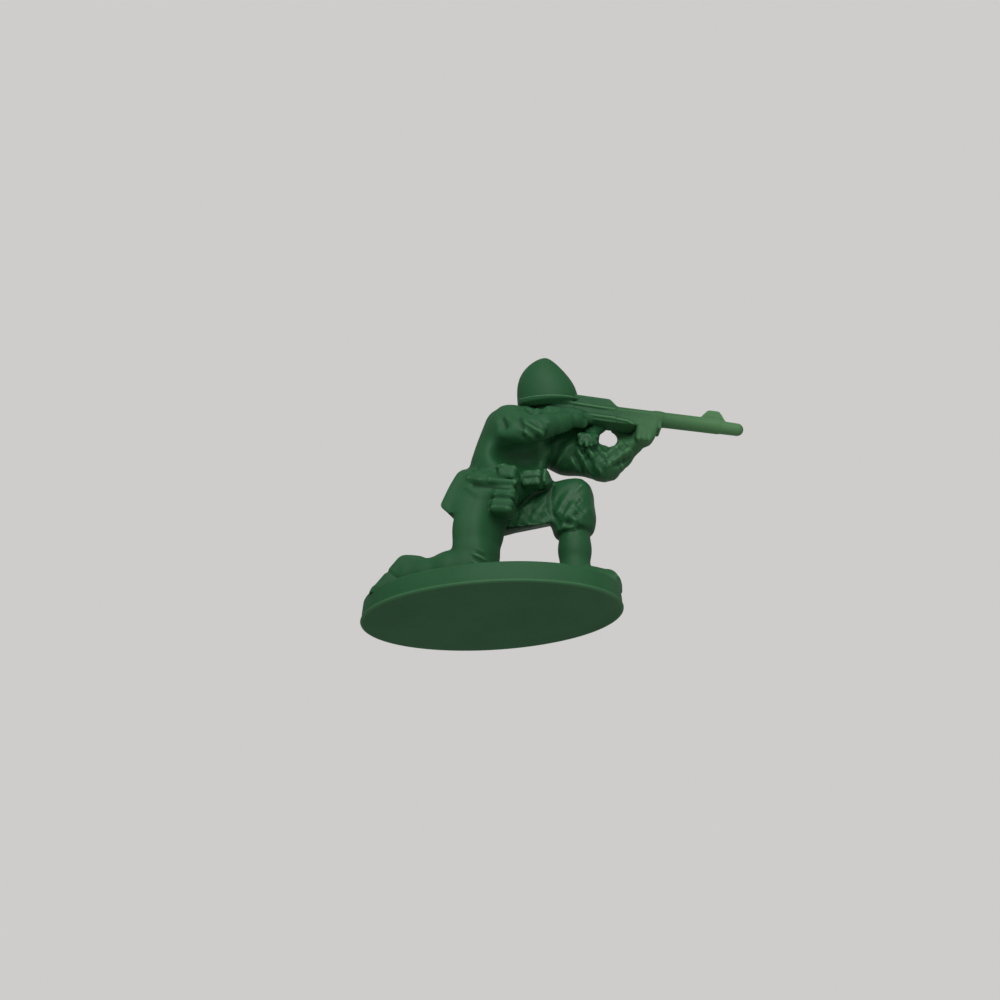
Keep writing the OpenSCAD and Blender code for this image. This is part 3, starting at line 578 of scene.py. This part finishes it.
# Folds in the cloth: a path, its width and its depth, where a negative depth stands out
FOLDS = []


def fold(points, width, depth):
    path = np.array(points, float)
    FOLDS.append((path, width, depth, *about(points, 3 * width)))


# The far thigh and knee
fold([(6.5, -0.3, 13.8), (6.3, -0.5, 12.2), (6.5, -0.4, 10.6), (7.1, -0.3, 9.4)], 0.28, 0.28)
fold([(2.7, -0.6, 11.5), (4.4, -0.6, 12.6), (6.1, -0.4, 13.6)], 0.35, 0.22)
fold([(8.5, -0.4, 12.5), (7.6, -0.4, 11.4)], 0.2, -0.13)
fold([(8.9, -0.5, 10.8), (8.3, -0.5, 10.1)], 0.2, -0.13)
fold([(9.5, -0.2, 13.7), (8.9, -0.4, 12.8)], 0.2, -0.1)
fold([(9.4, -0.4, 11.9), (8.2, -0.5, 10.6)], 0.2, 0.12)
fold([(8.1, -0.5, 8.6), (9.6, -0.4, 8.1)], 0.3, 0.18)

# The belt's ridge and the groove under it
fold([(-1.0, -5.2, 13.2), (0.2, -5.5, 12.8), (1.2, -5.4, 12.6), (2.1, -5.0, 12.6), (2.9, -4.3, 12.8),
      (3.5, -4.3, 12.9)], 0.3, -0.28)
fold([(-0.5, -5.3, 12.3), (0.5, -5.4, 12.0), (1.5, -5.3, 11.8), (2.6, -5.4, 11.6),
      (3.4, -5.4, 11.5)], 0.2, 0.26)

# The near sleeve
fold([(2.6, -5.7, 19.3), (2.9, -5.6, 18.4), (3.0, -5.2, 17.7)], 0.22, 0.22)
fold([(4.3, -5.6, 19.3), (4.6, -5.8, 18.1), (4.7, -5.3, 17.3)], 0.25, 0.16)
fold([(5.0, -5.1, 17.3), (5.8, -5.0, 17.7), (6.5, -4.9, 18.1), (7.1, -4.9, 18.8)], 0.28, -0.09)
fold([(3.6, -5.7, 18.6), (3.8, -5.5, 17.9)], 0.3, -0.1)


def path_distance(p, path):
    best = None
    for a, b in zip(path, path[1:]):
        ab = b - a
        h = np.clip(((p - a) @ ab) / (ab @ ab + 1e-9), 0, 1)
        d = length(p - a - h[..., None] * ab)
        best = d if best is None else np.minimum(best, d)
    return best


# Places where the cloth is finely rumpled: middle, reach, height of the lumps
RUMPLES = [
    (vec(11.6, 0.4, 17.2), 3.3, 0.1),
    (vec(8.2, -0.4, 10.4), 2.3, 0.06),
    (vec(4.4, -0.8, 10.6), 2.2, 0.06),
    (vec(4.6, -3.0, 13.4), 1.9, 0.025),
    (vec(1.6, -5.2, 14.4), 1.3, 0.05),
    (vec(2.4, -5.4, 10.6), 1.9, 0.012),
    (vec(5.2, -3.7, 20.9), 1.6, 0.09),
]


def lumps(p):
    """Coarse waves with finer ones on them, bent so that they make no rows."""
    x, y, z = p[..., 0], p[..., 1], p[..., 2]
    along = np.sin(3.7 * x + 1.1 * np.sin(2.3 * z + 0.6))
    upward = np.sin(3.3 * z + 1.2 * np.sin(2.7 * x + 1.1) + 0.8 * y)
    fine_along = np.sin(6.7 * x + 0.9 * np.sin(3.1 * z) + 2.3 * y)
    fine_upward = np.sin(6.1 * z - 0.8 * np.sin(3.9 * x) + 3.1 * y)
    return along * upward + 0.35 * (fine_along * fine_upward)


def rumple(p, lo, hi):
    near = [place for place in RUMPLES
            if overlaps(place[0] - 1.6 * place[1], place[0] + 1.6 * place[1], lo, hi)]
    total = np.zeros(p.shape[:3], np.float32)
    waves = lumps(p) if near else None
    for middle, reach, height in near:
        total += height * waves * np.exp(-(length(p - middle) / reach) ** 4)
    return total


# Forms that are cloth all over, and the first words of the names of those that are smooth
CLOTH = ("hips", "right_thigh", "right_knee", "left_thigh", "left_knee", "jacket", "jacket_skirt",
         "left_upper_arm", "left_forearm", "right_upper_arm", "right_forearm")
SMOOTH = ("rifle", "receiver", "front", "helmet", "head")

# How deep a form reaches into its neighbours and into the base, how softly it meets the base, and
# how far that soft join may spread. No form is looked for below or behind LOWEST.
OVERLAP, BASE_DEPTH, BASE_JOIN, BASE_SPREAD = 0.1, 0.12, 0.5, 0.48
LOWEST = vec(-14, -9, BASE_T - 0.35)

# Past its border with a neighbour a form sinks at this slope, so that one of the two lies on top.
# Points of the mesh are moved this share of the way to the exact surface.
SINK, SETTLE = 0.3, 0.8


def grid(lo, hi, cell):
    """The points of a grid that holds the box, and its lowest corner, on whole cells."""
    n = np.ceil((hi - lo) / cell).astype(int) + 1
    lo = np.floor(lo / cell) * cell
    axes = [lo[i] + cell * np.arange(n[i]) for i in range(3)]
    return np.stack(np.meshgrid(*axes, indexing="ij"), -1).astype(np.float32), lo


def figure_field(p, lo, hi, index):
    """The whole figure near the box, the form alone, and the nearest of the others."""
    total, own, other = None, None, np.full(p.shape[:3], 9.0, np.float32)
    for j, (_, field, (a, b), join) in enumerate(FORMS):
        if not overlaps(a - 0.8, b + 0.8, lo, hi):
            continue
        d = field(p)
        total = d if total is None else smooth(total, d, join)
        if j == index:
            own = d
        else:
            other = np.minimum(other, d)
    return total, own, other


def creased(d, p, lo, hi, name):
    """The field with the folds, wrinkles and lumps of one form."""
    for path, width, depth, a, b in FOLDS:
        if overlaps(a, b, lo, hi):
            off = path_distance(p, path) / width
            d = d + depth * np.exp(-off * off)
    if name in CLOTH:
        d = d + wrinkles(p, lo, hi)
    if not name.startswith(SMOOTH):
        d = d + rumple(p, lo, hi)
    return d


def build_form(index):
    """Meshes one form: the common blended surface, cut where its neighbours come nearer."""
    name, _, (lo, hi), _ = FORMS[index]
    cell = FINE_CELL if name in FINE else CELL
    room = 0.3
    lo = np.maximum(lo - room, LOWEST)
    hi = hi + room
    p, lo = grid(lo, hi, cell)
    ground = base_field(p)
    figure, own, other = figure_field(p, lo, hi, index)
    figure = creased(figure, p, lo, hi, name)
    total = smooth(figure, ground, BASE_JOIN)
    border = (own - other) / 2
    d = np.maximum(total + SINK * np.maximum(border, 0), border - OVERLAP)
    d = np.maximum(d, -(ground + BASE_DEPTH))
    d = np.maximum(d, figure - BASE_SPREAD)
    total = total.astype(np.float32)
    verts, quads = surface_net(d.astype(np.float32), lo, cell)
    step = sample(total, lo, cell, verts)
    normals = slope(total, lo, cell, verts)
    outer = np.abs(step) < cell
    verts[outer] -= (normals * np.clip(step, -cell / 2, cell / 2)[:, None])[outer] * SETTLE
    return name, verts, quads, normals, np.where(outer, curving(total, lo, cell, verts), 0)


def surface_net(d, lo, cell):
    """Closed quads round the region where d is below zero, one vertex for each crossed cell."""
    d = np.pad(d, 1, constant_values=1.0)
    inside = d < 0
    ids, verts = net_points(d, inside, lo - cell, cell)
    return verts, net_quads(inside, ids)


def net_points(d, inside, lo, cell):
    """One vertex in each cell that the surface crosses, at the mean of its crossings."""
    corners = [(i, j, k) for i in (0, 1) for j in (0, 1) for k in (0, 1)]
    nx, ny, nz = d.shape

    def at(c):
        return (slice(c[0], nx - 1 + c[0]), slice(c[1], ny - 1 + c[1]), slice(c[2], nz - 1 + c[2]))

    count = sum(inside[at(c)].astype(np.int8) for c in corners)
    cells = np.argwhere((count > 0) & (count < 8))
    ids = -np.ones((nx - 1, ny - 1, nz - 1), np.int64)
    ids[tuple(cells.T)] = np.arange(len(cells))
    total = np.zeros((len(cells), 3))
    hits = np.zeros(len(cells))
    for a in corners:
        for axis in range(3):
            if a[axis]:
                continue
            b = list(a)
            b[axis] = 1
            va = d[tuple((cells + a).T)]
            vb = d[tuple((cells + b).T)]
            cross = (va < 0) != (vb < 0)
            pos = np.array(a, float) + np.zeros((len(cells), 3))
            pos[:, axis] = np.where(cross, va / np.where(cross, va - vb, 1), 0)
            total += pos * cross[:, None]
            hits += cross
    return ids, lo + (cells + total / hits[:, None]) * cell


def net_quads(inside, ids):
    """A quad across each grid edge that the surface crosses, facing outward."""
    quads = []
    for axis in range(3):
        u, v = (axis + 1) % 3, (axis + 2) % 3
        a = [slice(1, -1)] * 3
        b = [slice(1, -1)] * 3
        a[axis] = slice(0, -1)
        b[axis] = slice(1, None)
        first, second = inside[tuple(a)], inside[tuple(b)]
        where = np.argwhere(first != second)
        full = where.copy()
        for i in range(3):
            if i != axis:
                full[:, i] += 1
        inside_first = first[tuple(where.T)]
        quad = []
        for du, dv in ((0, 0), (1, 0), (1, 1), (0, 1)):
            c = full.copy()
            c[:, u] -= du
            c[:, v] -= dv
            quad.append(ids[tuple(c.T)])
        quad = np.stack(quad, 1)
        quad[~inside_first] = quad[~inside_first][:, ::-1]
        quads.append(quad)
    return np.concatenate(quads)


def sample(field, lo, cell, pts):
    """The field at points between the grid's."""
    g = (pts - lo) / cell
    g = np.clip(g, 1.001, np.array(field.shape) - 2.001)
    i = np.floor(g).astype(int)
    f = g - i
    weights = (1 - f, f)
    out = np.zeros(len(pts))
    for a in (0, 1):
        for b in (0, 1):
            for c in (0, 1):
                w = weights[a][:, 0] * weights[b][:, 1] * weights[c][:, 2]
                out += w * field[i[:, 0] + a, i[:, 1] + b, i[:, 2] + c]
    return out


def slope(field, lo, cell, pts):
    """The way out of the surface at points on it."""
    steps = cell * 0.75 * np.eye(3)
    g = [sample(field, lo, cell, pts + e) - sample(field, lo, cell, pts - e) for e in steps]
    g = np.stack(g, 1)
    return g / (np.linalg.norm(g, axis=1, keepdims=True) + 1e-9)


def curving(field, lo, cell, pts):
    """How sharply the surface bends: above zero on a crest, below zero in a hollow."""
    reach = 1.5 * cell
    bend = -6 * sample(field, lo, cell, pts)
    for step in reach * np.eye(3):
        bend += sample(field, lo, cell, pts + step) + sample(field, lo, cell, pts - step)
    return np.clip(bend / reach ** 2, -8, 8)


# The surface's bending, kept on the mesh for the material, which paints highlights on crests and shade in
# hollows from it
def mark_crest(mesh, crest):
    mark = mesh.attributes.new("crest", "FLOAT", "POINT")
    mark.data.foreach_set("value", crest.astype(np.float32))


def place_mesh(name, mesh):
    obj = bpy.data.objects.new(name, mesh)
    bpy.context.scene.collection.objects.link(obj)
    return obj


def make_mesh(name, verts, faces, normals, crest):
    mesh = bpy.data.meshes.new(name)
    mesh.vertices.add(len(verts))
    mesh.vertices.foreach_set("co", (verts * MM).astype(np.float32).ravel())
    n = faces.shape[1]
    mesh.loops.add(faces.size)
    mesh.loops.foreach_set("vertex_index", faces.astype(np.int32).ravel())
    mesh.polygons.add(len(faces))
    mesh.polygons.foreach_set("loop_start", np.arange(0, faces.size, n, dtype=np.int32))
    mesh.update(calc_edges=True)
    mesh.validate()
    mesh.polygons.foreach_set("use_smooth", np.ones(len(mesh.polygons), bool))
    if len(mesh.vertices) == len(normals):
        mesh.normals_split_custom_set_from_vertices(normals.tolist())
        mark_crest(mesh, crest)
    return place_mesh(name, mesh)


# Colours of the plastic: its two greens, a paler green painted where light comes through the thin muzzle, a
# painted highlight on crests and painted shade in hollows
GREENS = (0.014, 0.082, 0.028, 1), (0.02, 0.098, 0.036, 1)
PAINTED_THROUGH_LIGHT_GREEN = (0.08, 0.2, 0.08, 1)
CREST_HIGHLIGHT_GREEN = (0.085, 0.22, 0.1, 1)
HOLLOW_SHADE_GREEN = (0.004, 0.03, 0.01, 1)


def add_node(tree, kind, values, **links):
    """A new node with its sockets set by name, and others joined to outputs."""
    node = tree.nodes.new(kind)
    for name, value in values.items():
        node.inputs[name].default_value = value
    for name, output in links.items():
        tree.links.new(output, node.inputs[name])
    return node


def noise(tree, place, scale, detail, distortion=0.0):
    values = {"Scale": scale, "Detail": detail, "Distortion": distortion}
    return add_node(tree, "ShaderNodeTexNoise", values, Vector=place).outputs["Fac"]


def two_tone(tree, amount, ends, colours):
    ramp = add_node(tree, "ShaderNodeValToRGB", {}, Fac=amount)
    for element, end, colour in zip(ramp.color_ramp.elements, ends, colours):
        element.position = end
        element.color = colour
    return ramp.outputs["Color"]


def ranged(tree, value, start, end, least, most):
    """Runs from least to most while the value runs from start to end."""
    values = {"From Min": start, "From Max": end, "To Min": least, "To Max": most}
    return add_node(tree, "ShaderNodeMapRange", values, Value=value).outputs["Result"]


def tint(tree, amount, under, colour):
    """The colour under it, mixed with a plain one. The mix node's colours are sockets 6 and 7."""
    node = tree.nodes.new("ShaderNodeMix")
    node.data_type = "RGBA"
    node.inputs[7].default_value = colour
    tree.links.new(amount, node.inputs[0])
    tree.links.new(under, node.inputs[6])
    return node.outputs[2]


def plastic_colour(tree, place):
    colour = two_tone(tree, noise(tree, place, 160, 3, 0.6), (0.3, 0.7), GREENS)
    # Towards the muzzle the moulding is thin, and the light that comes through it is painted as a paler
    # green
    spread = add_node(tree, "ShaderNodeSeparateXYZ", {}, Vector=place)
    colour = tint(tree, ranged(tree, spread.outputs["X"], 0.0115, 0.024, 0, 1), colour, PAINTED_THROUGH_LIGHT_GREEN)
    # Crests get a painted highlight in a paler green, and hollows get painted shade in a darker green
    mark = tree.nodes.new("ShaderNodeAttribute")
    mark.attribute_name = "crest"
    colour = tint(tree, ranged(tree, mark.outputs["Fac"], 2.6, 6.0, 0, 0.55), colour, CREST_HIGHLIGHT_GREEN)
    return tint(tree, ranged(tree, mark.outputs["Fac"], -1.2, -4.5, 0, 0.6), colour, HOLLOW_SHADE_GREEN)


def plastic_roughness(tree, place, grain):
    # The rumpled cloth of the arms, the lap and the knee came out of the mould glossier
    reach = tree.nodes.new("ShaderNodeVectorMath")
    reach.operation = "DISTANCE"
    reach.inputs[1].default_value = (0.0085, -0.001, 0.0145)
    tree.links.new(place, reach.inputs[0])
    rough = tree.nodes.new("ShaderNodeMath")
    rough.operation = "MULTIPLY_ADD"
    rough.inputs[1].default_value = 0.14
    tree.links.new(grain, rough.inputs[0])
    tree.links.new(ranged(tree, reach.outputs["Value"], 0.004, 0.008, 0.34, 0.52), rough.inputs[2])
    return rough.outputs["Value"]


def plastic_bump(tree, place, grain):
    wave = noise(tree, place, 700, 2)
    bump = add_node(tree, "ShaderNodeBump", {"Strength": 0.25, "Distance": 0.00006}, Height=wave)
    fine = {"Strength": 0.12, "Distance": 0.00002}
    bump = add_node(tree, "ShaderNodeBump", fine, Height=grain, Normal=bump.outputs["Normal"])
    return bump.outputs["Normal"]


def plastic_material():
    m = bpy.data.materials.new("green_plastic")
    m.use_nodes = True
    tree = m.node_tree
    bsdf = tree.nodes["Principled BSDF"]
    place = tree.nodes.new("ShaderNodeTexCoord").outputs["Object"]
    grain = noise(tree, place, 2600, 4)
    tree.links.new(plastic_colour(tree, place), bsdf.inputs["Base Color"])
    tree.links.new(plastic_roughness(tree, place, grain), bsdf.inputs["Roughness"])
    tree.links.new(plastic_bump(tree, place, grain), bsdf.inputs["Normal"])
    bsdf.inputs["IOR"].default_value = 1.5
    bsdf.inputs["Specular IOR Level"].default_value = 0.22
    bsdf.inputs["Subsurface Weight"].default_value = 0.12
    bsdf.inputs["Subsurface Radius"].default_value = (0.0004, 0.0009, 0.0005)
    bsdf.inputs["Subsurface Scale"].default_value = 1.0
    return m


plastic = plastic_material()


def finish_piece(obj, *nodes):
    obj.data.materials.append(plastic)
    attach(obj, "root")
    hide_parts(*nodes)


BASE_STEPS = 192
BEAD_R = 0.18
# The crest value given to the base's lower bead, so that a highlight is painted along it
BEAD_HIGHLIGHT_CREST = 4.5
TOP_INSET, TOP_ROUND = 0.62, 0.36


def base_profile():
    """How far out and how high the rings lie, from the middle of the underside to that of the top."""
    half = BASE_W / 2
    rings = [(share * (half - 0.2), 0.0) for share in np.linspace(0.03, 0.96, 12)]
    for t in np.radians(np.linspace(0, 150, 11)):
        rings.append((half - BEAD_R + BEAD_R * math.sin(t), BEAD_R - BEAD_R * math.cos(t)))
    rings += [(half - 0.12, 0.42), (half - 0.13, 0.6), (half - 0.14, 0.95), (half - 0.2, 1.45)]
    for t in np.radians(np.linspace(0, 90, 6)):
        rise = BASE_T - TOP_ROUND + TOP_ROUND * math.sin(t)
        rings.append((half - TOP_INSET + TOP_ROUND * math.cos(t), rise))
    return rings + [(share * (half - TOP_INSET), BASE_T) for share in np.linspace(0.96, 0.03, 26)]


def base_points(rings):
    """The rings as ovals, with a slightly wavy top."""
    angle = np.linspace(0, 2 * math.pi, BASE_STEPS, endpoint=False)
    longer = BASE_L / 2 - BASE_W / 2
    verts = []
    for r, z in rings:
        share = min(1.0, r / (BASE_W / 2 - TOP_INSET))
        oval = [(r + longer * share) * np.cos(angle), r * np.sin(angle), np.full(BASE_STEPS, z)]
        verts.append(np.stack(oval, 1))
    verts = np.concatenate(verts)
    x, y = verts[:, 0], verts[:, 1]
    top = verts[:, 2] > BASE_T - 0.02
    middle = np.clip((1 - np.hypot(x / (BASE_L / 2 - 0.9), y / (BASE_W / 2 - 0.9))) / 0.25, 0, 1)
    wave = (np.sin(x * 0.9 + 1.7 * np.sin(y * 0.55)) * np.cos(y * 0.8 - 0.6 * np.sin(x * 0.4))
            + 0.5 * np.sin(x * 2.1 + y * 1.3) * np.sin(y * 1.9 - x * 0.7))
    verts[top, 2] += (0.035 * wave * middle)[top] - 0.03 * middle[top]
    return verts


def build_base():
    rings = base_profile()
    verts = base_points(rings)
    i = np.arange(BASE_STEPS)
    j = (i + 1) % BASE_STEPS
    polys = []
    for k in range(0, (len(rings) - 1) * BASE_STEPS, BASE_STEPS):
        polys += np.stack([k + j, k + BASE_STEPS + j, k + BASE_STEPS + i, k + i], 1).tolist()
    polys.append(i[::-1].tolist())
    polys.append((len(verts) - BASE_STEPS + i).tolist())
    mesh = bpy.data.meshes.new("base")
    mesh.from_pydata((verts * MM).tolist(), [], polys)
    mesh.validate()
    mesh.polygons.foreach_set("use_smooth", np.ones(len(mesh.polygons), bool))
    # The bead round the lower edge gets a crest value, so the material paints a highlight along it
    bead = (verts[:, 2] < 0.4) & (np.hypot(verts[:, 0] / (BASE_L / 2), verts[:, 1] / (BASE_W / 2)) > 0.975)
    mark_crest(mesh, np.where(bead, BEAD_HIGHLIGHT_CREST, 0.0))
    return place_mesh("base_oval", mesh)


finish_piece(build_base(), "base")

with ThreadPoolExecutor(4) as pool:
    for name, verts, quads, normals, crest in pool.map(build_form, range(len(FORMS))):
        finish_piece(make_mesh(name + "_form", verts, quads, normals, crest), name)


# A pale floor, set low, because the photograph looks up at the figure's underside
FLOOR_HALF, FLOOR_Z = 3.0, -0.14
FLOOR_TONES = (0.8, 0.79, 0.78, 1), (0.84, 0.83, 0.82, 1)


def build_floor():
    a, z = FLOOR_HALF, FLOOR_Z
    mesh = bpy.data.meshes.new("floor")
    mesh.from_pydata([(-a, -a, z), (a, -a, z), (a, a, z), (-a, a, z)], [], [(0, 1, 2, 3)])
    obj = place_mesh("floor", mesh)
    m = bpy.data.materials.new("pale_floor")
    m.use_nodes = True
    tree = m.node_tree
    cloudy = add_node(tree, "ShaderNodeTexNoise", {"Scale": 4}).outputs["Fac"]
    bsdf = tree.nodes["Principled BSDF"]
    tree.links.new(two_tone(tree, cloudy, (0, 1), FLOOR_TONES), bsdf.inputs["Base Color"])
    bsdf.inputs["Roughness"].default_value = 0.8
    obj.data.materials.append(m)


build_floor()

# The camera looks up from the photograph's angle, and the lamp is placed in the picture's directions
scene = bpy.context.scene
az, el = math.radians(PHOTO_TURN), math.radians(-PHOTO_DROP)
right = Vector((math.cos(az), math.sin(az), 0))
forward = Vector((-math.sin(az) * math.cos(el), math.cos(az) * math.cos(el), -math.sin(el)))
up = right.cross(forward)


CAMERA_PLACE = Vector((42.175, -178.634, -80.315))


def build_camera():
    lens = bpy.data.cameras.new("camera")
    lens.lens = 72
    lens.sensor_width = 36
    lens.clip_start = 0.01
    cam = bpy.data.objects.new("camera", lens)
    scene.collection.objects.link(cam)
    turn = Matrix((right, up, -forward)).transposed().to_4x4()
    cam.matrix_world = Matrix.Translation(CAMERA_PLACE * MM) @ turn
    scene.camera = cam


def lamp(name, aside, over, toward, size, power, distance):
    """A soft round lamp that faces the middle of the figure."""
    data = bpy.data.lights.new(name, "AREA")
    data.shape = "DISK"
    data.size = size
    data.energy = power
    obj = bpy.data.objects.new(name, data)
    scene.collection.objects.link(obj)
    d = (right * aside + up * over - forward * toward).normalized()
    centre = Vector((4, 0, 14)) * MM
    obj.location = centre + d * distance
    obj.rotation_euler = (-d).to_track_quat("-Z", "Y").to_euler()


def build_world():
    """Soft even light, with a paler backdrop where the camera sees past the floor."""
    world = bpy.data.worlds.new("world")
    scene.world = world
    world.use_nodes = True
    tree = world.node_tree
    even = tree.nodes["Background"]
    even.inputs["Color"].default_value = (0.8, 0.8, 0.79, 1)
    even.inputs["Strength"].default_value = 0.38
    seen = add_node(tree, "ShaderNodeBackground", {"Color": (0.62, 0.61, 0.60, 1), "Strength": 1.0})
    paths = tree.nodes.new("ShaderNodeLightPath")
    choice = add_node(tree, "ShaderNodeMixShader", {}, Fac=paths.outputs["Is Camera Ray"])
    tree.links.new(even.outputs["Background"], choice.inputs[1])
    tree.links.new(seen.outputs["Background"], choice.inputs[2])
    tree.links.new(choice.outputs["Shader"], tree.nodes["World Output"].inputs["Surface"])


build_camera()
lamp("key", -0.05, 0.97, 0.7, size=0.28, power=0.68, distance=0.28)
build_world()
scene.view_settings.view_transform = "Standard"
